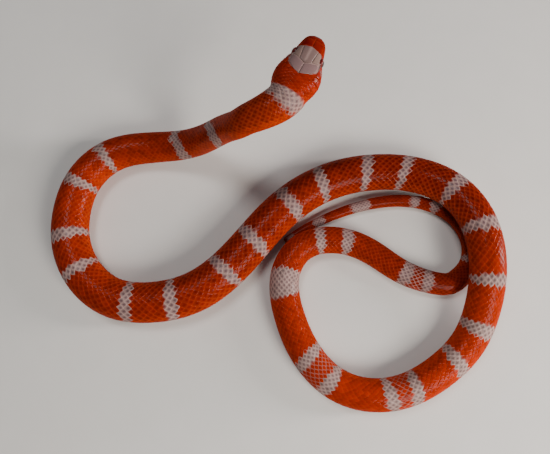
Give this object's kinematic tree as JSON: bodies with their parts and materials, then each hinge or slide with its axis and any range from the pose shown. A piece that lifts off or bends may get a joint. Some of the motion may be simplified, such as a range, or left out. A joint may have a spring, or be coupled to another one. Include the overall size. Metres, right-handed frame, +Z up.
{
  "type": "milk snake",
  "caption": "Milk snake at rest in a loose double loop, neck raised and head level, life size, as a still display model.",
  "frame": {"origin": "on the floor, under the middle of the box that holds the whole snake", "axes": "+Z up from the floor; +X along the longer side of the coiled shape, from the left loop to the coil over the tail; +Y across it, towards the side on which the head points"},
  "size_m": [0.2467, 0.1687, 0.0874],
  "materials": {
    "skin": "smooth glossy scales, orange-red with pale lavender-grey bands",
    "eyes": "wet, dark burgundy"
  },
  "bodies": {
    "root": {"head": "skin", "eye_left": "eyes", "eye_right": "eyes", "neck": "skin", "torso_01": "skin", "torso_02": "skin", "torso_03": "skin", "torso_04": "skin", "torso_05": "skin", "torso_06": "skin", "torso_07": "skin", "torso_08": "skin", "torso_09": "skin", "torso_10": "skin", "tail_base": "skin", "tail_tip": "skin"}
  },
  "joints": []
}
